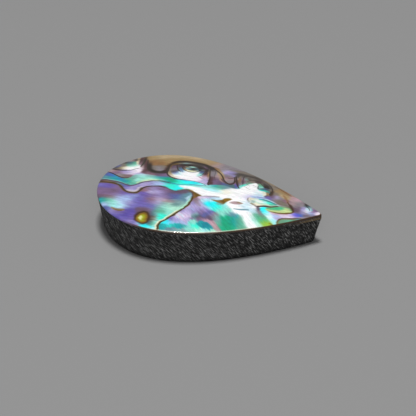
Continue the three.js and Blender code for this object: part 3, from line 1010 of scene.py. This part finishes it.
# %% Lenses
patch("olive", [(0.8, -2), (1.9, -1.9), (2.7, -1.5), (3.1, -1), (3.9, -0.65), (4.25, -0.9),
                (3.9, -1.4), (3.5, -1.9), (3.2, -2.6), (2.4, -2.6), (1.5, -2.3)], 0.2)
patch("gold", [(2.9, -1.3), (3.3, -0.95), (3.9, -0.75), (4.1, -0.95), (3.7, -1.5),
               (3.2, -1.8)], 0.15)
stroke("sand", [(1.3, -2.1), (2.1, -2.2), (2.9, -2.35)], 0.28, 0.7)
stroke("mint grey", [(2.1, -2.8), (3.2, -2.9)], 0.25, 0.8)
patch("dusty pink", [(4.1, -1.9), (4.6, -1.4), (5.3, -1.3), (6.3, -1.6), (5.6, -2),
                     (4.7, -2.1)], 0.2)
stroke("sand", [(5.4, -1.45), (6.2, -1.55)], 0.15, 0.8)
stroke("steel", [(5.3, -3.4), (6.3, -3.35), (7.6, -3)], 0.2, 0.95, 0.6)
stroke("umber mauve", [(9, -1.6), (9.3, -2.2), (9.4, -2.6)], 0.28, 0.9)
stroke("warm grey", [(9.4, -2.7), (9.9, -3.4)], 0.25, 0.7)
patch("olive", [(-4.2, 0.15), (-3.3, 0), (-2.4, -0.4), (-1.6, -0.9), (-1, -1.25), (-1.6, -1.6),
                (-2, -2.1), (-2.3, -2.9), (-2.5, -2), (-2.8, -1.1), (-3.3, -0.5)], 0.14)
stroke("gold", [(-3.8, 0.05), (-2.9, -0.2)], 0.22, 0.8)
stroke("brown orange", [(-2.3, -1.2), (-2.2, -2.2)], 0.2, 0.6)
stroke("warm grey", [(-1.1, -1.35), (0.4, -1.15), (2, -0.85)], 0.12, 0.8)
report("lenses")

# %% [markdown]
# Each seam has a soft brown shadow in the tint and a crisp dark core in the seam distance. A
# cream lip, where the newer layer starts, lies along one side of it.

# %% Seam shadows, lips and cores
stroke("pale green", [(x - 0.38, y + 0.05) for x, y in slanting_seam[1:]], 0.17, 0.8, 0.6, 0)
stroke("cream", [(x - 0.34, y + 0.05) for x, y in slanting_seam[5:]], 0.14, 0.8, 0.6, 0)
stroke("mint", [(x, y + 0.22) for x, y in upper_seam[:6]], 0.12, 0.7)
stroke("gold", [(11.8, -5.4), (12.6, -5.75)], 0.16, 0.7)
stroke("cream", [(-14.3, -2.25), (-13.4, -2.5), (-12.7, -2.3), (-12.5, -1.5),
                 (-12, -0.8)], 0.2, 0.5)
stroke("pale yellow", [(-13.2, 0.3), (-12.3, 1), (-11, 1.65), (-9.8, 2)], 0.2, 0.6)
stroke("grey green", [(-5.4, -0.5), (-4.5, 0.05), (-3.6, 0.2)], 0.2, 0.8)
stroke("umber", lower_seam[:16], 0.17, 0.9, 0.7, 0)
stroke("umber mauve", lower_seam[14:], 0.16, 0.75, 0.7, 0)
stroke("olive", lower_seam[:12], 0.28, 0.7, 0.7, 0)
stroke("olive", slanting_seam, 0.2, 0.9, 0.6, 0)
stroke("umber mauve", upper_seam, 0.16, 0.8, 0.7, 0)
stroke("pale blue", [(-2.5, -5), (-1.9, -5.4), (-1.4, -5.8)], 0.12, 0.8)
stroke("ice", [(-3.7, -7.3), (-3.2, -7.6), (-2.7, -8)], 0.13, 0.8)
stroke("ice", [(-4.1, -7.95), (-3.5, -8.4)], 0.12, 0.8)
stroke("umber mauve", [(-3.8, -6.8), (-3.2, -6.5)], 0.12, 0.7)
stroke("umber", [(-4.7, -8.4), (-4.1, -7.8)], 0.14, 0.8)
stroke("warm grey", [(-1.8, -2.6), (-1.3, -3.6), (-0.6, -4.3)], 0.3, 0.5)
stroke("slate", [(0.5, -6.8), (1.2, -5.9), (1.9, -5.2)], 0.35, 0.4)
stroke("slate", [(-7.5, 1.4), (-6.3, 1.3), (-5, 1.5), (-3.6, 1.75), (-2.3, 1.95),
                 (-1.1, 2.15)], 0.14, 0.5)
draw(lower_seam[:16], 0.08)
draw(lower_seam[14:], 0.03)
draw(slanting_seam, 0.08)
draw(upper_seam, 0.04)
report("long seams")

# %% Fine lines of the horn
stroke("maroon", [(1.1, 5.4), (1.6, 4.6), (2.3, 4.05), (3, 4.05), (3.4, 4.7),
                  (3.4, 5.5)], 0.24, 0.8)
stroke("umber", [(3.6, 6.2), (3.9, 5), (4.25, 4)], 0.2, 0.7)
draw([(-19.6, 3.1), (-19, 2.95), (-18.3, 2.6), (-17.3, 2), (-16.5, 1.6), (-15.8, 1.5),
      (-15.2, 1.7)], 0.12)
draw([(-18.9, 4.3), (-18, 4.15), (-17, 4.1), (-16.2, 4.25)], 0.1)
draw([(-18.8, 4.05), (-17.8, 3.9), (-16.8, 4), (-15.6, 4.3), (-14.9, 4.85), (-14.2, 5.4)], 0.06)
draw([(-14, 9.4), (-13.85, 8.2), (-13.95, 7), (-14.05, 5.9)], 0.1)
draw([(-14.7, 9), (-14.6, 8), (-14.65, 6.9)], 0.05)
draw([(-13.4, 8.6), (-13.1, 7.2), (-12.8, 6.1), (-12.3, 5.2), (-11.6, 4.65), (-10.6, 4.5),
      (-9.8, 4.7), (-9.35, 5.4), (-9.15, 6.5), (-9, 7.6)], 0.12)
draw([(-9, 7.4), (-8.85, 6.2), (-8.8, 5.2), (-8.6, 4.4), (-8, 3.75), (-7, 3.3), (-6, 3.15),
      (-4.6, 3.15), (-3.2, 3), (-2, 2.75), (-1.1, 2.3)], 0.06)
draw([(-9, 6.6), (-8.9, 5.2), (-8.65, 4.3), (-8.1, 3.65), (-7.2, 3.2), (-6.4, 3.1)], 0.12)
draw([(-9, 7.9), (-8.2, 8.9), (-6.5, 9.7), (-4.4, 9.95), (-2.7, 9.45), (-1.2, 8.7), (-0.2, 7.9),
      (0.6, 7), (1.15, 6), (1.5, 5.2), (2, 4.5), (2.6, 4), (3.1, 4.05), (3.45, 4.6), (3.4, 5.6),
      (3.1, 6.8)], 0.13)
draw([(3.1, 6.6), (2.5, 6), (2, 6.1)], 0.05)
draw([(3.3, 7.2), (3.6, 6.2), (3.9, 5), (4.3, 3.9), (4.7, 3.2)], 0.12)
draw([(4.7, 7.8), (4.75, 6.4), (4.95, 5.4), (5.05, 4.7)], 0.06)
report("lines of the horn")

# %% Rings of the second eye
stroke("slate", [(-6.9, 7.2), (-6.7, 6.4), (-6.3, 5.7)], 0.22, 0.5)
draw([(-8.4, 7.5), (-7.8, 8.2), (-6.6, 8.75), (-5, 9), (-3.5, 8.7), (-2.5, 7.9), (-2.1, 6.8),
      (-2.15, 5.8)], 0.06)
draw([(-7.8, 8), (-7.6, 7.3), (-7.2, 6.4), (-6.6, 5.8)], 0.1)
draw([(-6.7, 8.1), (-6.6, 7.3), (-6.2, 6.7), (-5.5, 6.25), (-4.6, 6.15), (-3.8, 6.45),
      (-3.3, 7.1)], 0.07)
draw([(-6.1, 7.6), (-5.6, 8.2), (-4.7, 8.4), (-3.9, 8.2), (-3.5, 7.6)], 0.06)
draw([(-5.6, 7.5), (-5, 7.65), (-4.2, 7.65)], 0.06)
draw([(-5.7, 7.05), (-5.1, 6.8), (-4.3, 6.85), (-3.8, 7.3)], 0.05)
draw([(-3.6, 7.3), (-3.1, 7), (-2.6, 7)], 0.08)
draw([(-2.4, 6.6), (-2.5, 5.9), (-2.9, 5.2)], 0.05)
draw([(-3, 4.75), (-2.4, 4.4), (-1.8, 4.3)], 0.02)
draw([(-1.7, 8.3), (-1.5, 7.2), (-1.25, 6), (-1, 5), (-0.9, 4), (-0.95, 3), (-0.7, 2.5)], 0.09)
draw([(-0.6, 8), (-0.45, 6.8), (-0.3, 5.6), (0.1, 4.4)], 0.02)
report("rings of the second eye")

# %% Rings of the third eye
draw([(4.6, 7.5), (5.6, 8.1), (7, 8), (8.4, 7.4), (9.6, 6.4), (10.3, 5.2), (10.5, 4.1),
      (10.2, 2.9)], 0.07)
draw([(5.6, 6.2), (6.2, 6.8), (7, 7), (7.8, 6.6), (8.3, 5.9), (8.5, 5.6)], 0.06)
draw([(7.75, 5.3), (7.8, 4.8), (8, 4.15), (8.6, 4.4), (9.3, 4.6), (10, 4.4)], 0.05)
draw([(9.2, 5.6), (9.25, 5)], 0.08)
draw([(5, 4.4), (5.6, 4.1), (6.2, 3.6), (6.8, 3.3)], 0.02)
draw([(5.5, 5.3), (6, 4.9), (6.4, 4.6)], 0.02)
draw([(6.8, 5.2), (7.4, 4.9), (8, 4.9)], 0.02)
report("rings of the third eye")

# %% Outlines near the tip
draw([(9.4, 0.95), (10.4, 0.65), (11.4, 0.3), (12.2, -0.1)], 0.04)
draw([(6.9, 0.2), (6.95, -0.5), (7.4, -1), (8, -1.3), (8.8, -1.5)], 0.03)
draw([(7.4, 0.1), (7.5, -0.5), (7.9, -0.9), (8.6, -1.1)], 0.02)
draw([(9.8, -2.9), (10.8, -3.9), (11.8, -5), (12.7, -5.8)], 0.01)
draw([(12.5, -0.5), (11.6, -0.85), (10.6, -1.1), (9.7, -1.35), (9, -1.7)], 0.08)
draw([(13.7, 1.6), (14.1, 0.8), (14.7, 0), (15.1, -0.7), (15.05, -1.4)], 0.06)
draw([(15.05, -1.4), (14.3, -1.95), (13.2, -2.3), (12, -2.3)], 0.03)
draw([(13, -4.7), (13.15, -4), (13.7, -3.45), (14.6, -3.1), (15.8, -2.75), (16.8, -2.4)], 0.05)
draw([(16.9, 2.3), (17.1, 1.5), (17.6, 0.9), (17.9, 0.2)], 0.06)
draw([(10.6, 6.4), (11.6, 5.7), (12.8, 4.8), (14, 3.9)], 0.03)
stroke("umber", [(14.2, 0.7), (14.8, -0.1), (15.15, -0.9)], 0.3, 0.8)
stroke("brown orange", [(12.6, 3.6), (13.3, 2.6), (13.7, 1.6), (14.1, 0.9)], 0.25, 0.7)
report("outlines near the tip")

# %% [markdown]
# The upright edge of the slice shows its layers end on, as thin brown lines. Along the near rim,
# where the polish turns over, a pale line is a painted highlight in cream.

# %% Edge of the slice
edge_starts = 0.05
thick_end_from, thick_end_full = 0, 14
tan_from, tan_full = 15, 18
rim_highlight_from = (-9, -6)
rim_highlight_to = (12, 8)
depth = rim_at(px) - pz
upright = eased(depth, 0.0, edge_starts)[:, None]
layers = smooth_noise(arc_of(px, py) * 0.5, depth * 14, 21)[:, None]
thick_end = eased(px, thick_end_from, thick_end_full)[:, None]
tan_layer = eased(px, tan_from, tan_full)[:, None] * eased(depth, 0.12, 0.25)[:, None]
ink, soft_black, tan = (np.array(tints[name], float) for name in ("ink", "charcoal", "tan"))
edge_tint = ink + (soft_black - ink) * layers * thick_end
edge_tint += (tan - edge_tint) * tan_layer
tint += (edge_tint - tint) * upright

# %% Painted highlight on the near rim, and worn parts of the rim
rim_place = np.hypot(px, py) / np.hypot(*outline_point(arc_of(px, py)).T)
on_dome = 1 - upright[:, 0]
turned = eased(rim_place, 0.972, 0.982) * on_dome
# painted highlight: cream laid along the near rim where the polish turns over
painted_rim_highlight = turned * eased(px, *rim_highlight_from) * eased(px, *rim_highlight_to) * (py < 0)
lay(tints["cream"], 0.7 * painted_rim_highlight)
worn_rim = eased(rim_place, 0.984, 0.992) * on_dome * (py < 4)
lay(tints["umber"], worn_rim * eased(px, -14, -8))
seam = np.where(upright[:, 0] > 0.5, seam_reach, seam)
report("edge and rim")

# %% [markdown]
# Polishing cuts the dark horn of a seam a little deeper than the pearl, and leaves faint waves
# along the silk. Both are real relief of a few hundredths of a millimetre, so that the gloss
# breaks at each seam. Only the domed top is moved.

# %% Relief of the polished top
on_top = eased(-depth, rim_rounding + 0.08, rim_rounding + 0.3)
groove = 0.022 * eased(-seam, -0.12, 0.02)
waves = 0.02 * (smooth_noise(along * 0.8, across * 1.6, 41) - 0.5)
slice_places[:, 2] += on_top * (waves - groove)
shell.data.vertices.foreach_set("co", (slice_places * MM).ravel())
shell.data.update()
print("deepest groove:", round(groove.max(), 3), "mm")

# %% [markdown]
# The tint, the distance to the nearest seam and the grain are stored on the mesh as attributes,
# and for the upright edge the place round and up, and how far the vertex belongs to that edge.
# The clear polish reflects a little light of its own, so the tint under it is a little darker.

# %% Store the paint on the mesh
mesh = shell.data
mesh.attributes.new("tint", "FLOAT_COLOR", "POINT")
mesh.attributes.new("seam", "FLOAT", "POINT")
mesh.attributes.new("silk", "FLOAT_VECTOR", "POINT")
mesh.attributes.new("ground edge", "FLOAT_VECTOR", "POINT")
polish_light = 0.016
under_polish = np.clip(linear(np.clip(tint, 0, 255)) - polish_light, 0.003, 1)
rgba = np.column_stack([under_polish, np.ones(len(px))])
mesh.attributes["tint"].data.foreach_set("color", rgba.ravel())
mesh.attributes["seam"].data.foreach_set("value", seam)
mesh.attributes["silk"].data.foreach_set("vector", np.column_stack([along, across, 0 * px]).ravel())
ground_edge = np.column_stack([arc_of(px, py), pz, upright[:, 0]])
mesh.attributes["ground edge"].data.foreach_set("vector", ground_edge.ravel())
print("painted", len(px), "vertices")

# %% [markdown]
# Both finishes start from a Principled shader. A small helper makes the material and hands back
# what the cells below add nodes to.

# %% Helpers for materials
def new_material(name):
    material = bpy.data.materials.new(name)
    material.use_nodes = True
    tree = material.node_tree
    return material, tree.nodes, tree.links, tree.nodes["Principled BSDF"]


def add_node(nodes, kind, **settings):
    node = nodes.new(kind)
    for key, value in settings.items():
        setattr(node, key, value)
    return node


def streaks(nodes, links, vector, turn, length, width, scale=1, detail=1, roughness=0.5):
    """Noise drawn out into streaks of that length and width, in millimetres, and turned."""
    mapping = add_node(nodes, "ShaderNodeMapping", vector_type="TEXTURE")
    mapping.inputs["Rotation"].default_value = (0, 0, math.radians(turn))
    mapping.inputs["Scale"].default_value = (length, width, 1)
    links.new(vector, mapping.inputs["Vector"])
    noise = add_node(nodes, "ShaderNodeTexNoise")
    noise.inputs["Scale"].default_value = scale
    noise.inputs["Detail"].default_value = detail
    noise.inputs["Roughness"].default_value = roughness
    links.new(mapping.outputs["Vector"], noise.inputs["Vector"])
    return noise.outputs["Fac"]


def ramp(nodes, links, value, *stops):
    """A colour ramp; each stop is a place and a linear colour."""
    node = add_node(nodes, "ShaderNodeValToRGB")
    elements = node.color_ramp.elements
    while len(elements) < len(stops):
        elements.new(0.5)
    for element, (place, colour) in zip(elements, stops):
        element.position = place
        element.color = (*colour, 1)
    links.new(value, node.inputs["Fac"])
    return node.outputs["Color"]


def ranged(nodes, links, value, low, high, to_low, to_high):
    """The value mapped from low..high to to_low..to_high, smoothly and clamped."""
    node = add_node(nodes, "ShaderNodeMapRange", interpolation_type="SMOOTHSTEP")
    for socket, number in zip(("From Min", "From Max", "To Min", "To Max"),
                              (low, high, to_low, to_high)):
        node.inputs[socket].default_value = number
    links.new(value, node.inputs["Value"])
    return node.outputs["Result"]


def mixed(nodes, links, factor, first, second, blend="MIX"):
    """Mixes two colours; each may be an output socket or a plain colour."""
    node = add_node(nodes, "ShaderNodeMix", data_type="RGBA", blend_type=blend)
    for socket, value in ((0, factor), (6, first), (7, second)):
        if isinstance(value, bpy.types.NodeSocket):
            links.new(value, node.inputs[socket])
        elif socket == 0:
            node.inputs[socket].default_value = value
        else:
            node.inputs[socket].default_value = (*value, 1)
    return node.outputs[2]


def shaded(nodes, links, colour, shade):
    """A colour made darker or lighter by a shade."""
    return mixed(nodes, links, 1.0, colour, shade, "MULTIPLY")


def reading(nodes, name, output):
    """An attribute of the mesh."""
    return add_node(nodes, "ShaderNodeAttribute", attribute_name=name).outputs[output]


# %% [markdown]
# The upright edge of the shell and the sides of the backing were ground together on a coarse
# disc, so they share one finish. Pale dust sits in short slanting scratches, at two slants that
# differ a little, and a fainter set crosses them. Streaks of noise on the unrolled side, in
# millimetres, give the scratches the same size all the way round.

# %% Ground finish
def ground_finish(nodes, links, sheet):
    """Colour and scratches of the ground side, from its unrolled place."""
    steep = streaks(nodes, links, sheet, turn=-53, length=1.3, width=0.14)
    gentle = streaks(nodes, links, sheet, turn=-43, length=1.2, width=0.15, scale=1.2)
    crossing = streaks(nodes, links, sheet, turn=38, length=1.4, width=0.25)
    broad = streaks(nodes, links, sheet, turn=-52, length=2.5, width=1.2, detail=2)
    gentle_share = 0.42
    scratches = mixed(nodes, links, gentle_share, steep, gentle)
    colour = ramp(nodes, links, scratches,
                  (0.42, (0.003, 0.003, 0.003)), (0.495, (0.028, 0.028, 0.028)),
                  (0.55, (0.075, 0.075, 0.074)), (0.63, (0.31, 0.31, 0.307)))
    colour = shaded(nodes, links, colour, ranged(nodes, links, broad, 0.3, 0.7, 0.6, 1.3))
    colour = shaded(nodes, links, colour, ranged(nodes, links, crossing, 0.35, 0.65, 0.82, 1.15))
    return colour, scratches


# %% [markdown]
# The mother-of-pearl takes its colour from the painted tints. Over them come fine silk streaks,
# which follow the grain of each layer and lean to rose or to green, and the dark crisp core of
# every seam. The clear coat is the polish. It stops at the ground edge.

# %% Nacre
nacre, nodes, links, shader = new_material("polished mother-of-pearl")
tint = reading(nodes, "tint", "Color")
seam = reading(nodes, "seam", "Fac")
silk = reading(nodes, "silk", "Vector")
broad = streaks(nodes, links, silk, turn=0, length=2.0, width=0.4, detail=4, roughness=0.6)
fine = streaks(nodes, links, silk, turn=0, length=0.8, width=0.11, detail=3, roughness=0.6)
lean = streaks(nodes, links, silk, turn=0, length=1.2, width=0.22, scale=1.7, detail=3,
               roughness=0.6)
rose = (1.0, 0.88, 0.97)
neutral = (0.98, 0.98, 0.98)
green = (0.86, 1.0, 0.96)
seam_brown = (0.030, 0.018, 0.012)
colour = shaded(nodes, links, tint, ranged(nodes, links, broad, 0.3, 0.7, 0.86, 1.14))
colour = shaded(nodes, links, colour, ranged(nodes, links, fine, 0.3, 0.7, 0.90, 1.10))
leaning = ramp(nodes, links, lean, (0.35, rose), (0.5, neutral), (0.65, green))
colour = shaded(nodes, links, colour, leaning)
core = ranged(nodes, links, seam, -0.02, 0.07, 0.92, 0)
colour = mixed(nodes, links, core, colour, seam_brown)
print("nodes under the polish:", len(nodes))

# %% Ground edge of the nacre
ground_edge = reading(nodes, "ground edge", "Vector")
edge_parts = add_node(nodes, "ShaderNodeSeparateXYZ")
links.new(ground_edge, edge_parts.inputs["Vector"])
on_edge = edge_parts.outputs["Z"]
edge_colour, scratches = ground_finish(nodes, links, ground_edge)
dust_share = 0.45
edge_colour = mixed(nodes, links, dust_share, edge_colour, tint)
colour = mixed(nodes, links, on_edge, colour, edge_colour)
links.new(colour, shader.inputs["Base Color"])
rough = ranged(nodes, links, on_edge, 0, 1, 0.32, 0.75)
links.new(rough, shader.inputs["Roughness"])
polish = ranged(nodes, links, on_edge, 0, 1, 1, 0)
links.new(polish, shader.inputs["Coat Weight"])
shader.inputs["Coat Roughness"].default_value = 0.04
shader.inputs["Coat IOR"].default_value = 1.5
shell.data.materials.append(nacre)
print(nacre.name, "has", len(nodes), "nodes")

# %% [markdown]
# The block is matte charcoal. Its ground finish is painted darker towards the foot, as painted
# shade where the foot turns under, and the scratches also give a little bump between the rings of
# real relief.

# %% Charcoal board
charcoal, nodes, links, shader = new_material("ground charcoal board")
sheet = add_node(nodes, "ShaderNodeUVMap", uv_map="unrolled side").outputs["UV"]
colour, scratches = ground_finish(nodes, links, sheet)
height = add_node(nodes, "ShaderNodeSeparateXYZ")
links.new(sheet, height.inputs["Vector"])
# painted shade: the colour darkens over the lowest 1.4 mm of the side, towards the foot
painted_foot_shade = ranged(nodes, links, height.outputs["Y"], 0.0, 1.4, 0.2, 1.0)
colour = shaded(nodes, links, colour, painted_foot_shade)
links.new(colour, shader.inputs["Base Color"])
rough = ranged(nodes, links, scratches, 0.3, 0.7, 0.62, 0.88)
links.new(rough, shader.inputs["Roughness"])
shader.inputs["Specular IOR Level"].default_value = 0.3
bump = add_node(nodes, "ShaderNodeBump")
bump.inputs["Strength"].default_value = 0.7
bump.inputs["Distance"].default_value = 0.00008
links.new(scratches, bump.inputs["Height"])
links.new(bump.outputs["Normal"], shader.inputs["Normal"])
backing.data.materials.append(charcoal)
print(charcoal.name, "has", len(nodes), "nodes")

# %% [markdown]
# The stage is a plain pale floor under soft studio light. A small softbox, almost straight
# overhead, gives most of the light. The sides lean in, so the floor beneath them stays dark, and
# that thin dark line holds the stone to the floor. A weaker, larger softbox in front and a dim
# world open up the sides.

# %% Floor
floor_reach = 3
floor_grey = (0.250, 0.250, 0.250, 1)
bm = bmesh.new()
bmesh.ops.create_grid(bm, x_segments=1, y_segments=1, size=floor_reach)
mesh = bpy.data.meshes.new("floor")
bm.to_mesh(mesh)
bm.free()
floor = bpy.data.objects.new("floor", mesh)
bpy.context.collection.objects.link(floor)
paper, nodes, links, shader = new_material("pale paper")
shader.inputs["Base Color"].default_value = floor_grey
shader.inputs["Roughness"].default_value = 0.9
shader.inputs["Specular IOR Level"].default_value = 0.1
floor.data.materials.append(paper)
print("floor:", 2 * floor_reach, "metres square")

# %% World
world_grey = (0.15, 0.15, 0.15, 1)
world = bpy.data.worlds.new("even studio light")
world.use_nodes = True
background = world.node_tree.nodes["Background"]
background.inputs["Color"].default_value = world_grey
background.inputs["Strength"].default_value = 1.0
bpy.context.scene.world = world
bpy.context.scene.view_settings.view_transform = "Standard"
print("world:", world.name)


# %% Softboxes
def softbox(name, azimuth, elevation, distance, size, power):
    """A square area light that faces the shell, azimuth degrees round from the front."""
    light = bpy.data.lights.new(name, "AREA")
    light.shape = "SQUARE"
    light.size = size
    light.energy = power
    lamp = bpy.data.objects.new(name, light)
    a, e = math.radians(azimuth), math.radians(elevation)
    back = Vector((math.sin(a) * math.cos(e), -math.cos(a) * math.cos(e), math.sin(e)))
    lamp.location = back * distance
    lamp.rotation_mode = "QUATERNION"
    lamp.rotation_quaternion = back.to_track_quat("Z", "Y")
    bpy.context.collection.objects.link(lamp)
    print(name, "at", [round(c, 2) for c in lamp.location])


softbox("softbox overhead", azimuth=13, elevation=87.5, distance=1.2, size=0.22, power=13.0)
softbox("softbox in front", azimuth=13, elevation=35, distance=0.8, size=0.5, power=1.4)

# %% [markdown]
# The camera stands where the shell is seen from slightly right of the front and a third of the
# way up, far off, with a long lens, so that the two ends look nearly the same size.

# %% Camera
camera_azimuth = math.radians(13.17)
camera_elevation = math.radians(33.24)
camera_distance = 0.240
aim_up = 3.52
aim_left = 0.18
lens = bpy.data.cameras.new("camera")
lens.lens = 116.5
lens.sensor_width = 36
lens.clip_start = 0.01
lens.clip_end = 20
camera = bpy.data.objects.new("camera", lens)
back = Vector((math.sin(camera_azimuth) * math.cos(camera_elevation),
               -math.cos(camera_azimuth) * math.cos(camera_elevation),
               math.sin(camera_elevation)))
turn = back.to_track_quat("Z", "Y")
right = turn @ Vector((1, 0, 0))
up = turn @ Vector((0, 1, 0))
aim = up * aim_up * MM - right * aim_left * MM
camera.location = aim + back * camera_distance
camera.rotation_mode = "QUATERNION"
camera.rotation_quaternion = turn
bpy.context.collection.objects.link(camera)
bpy.context.scene.camera = camera
print("camera at", [round(c, 3) for c in camera.location])
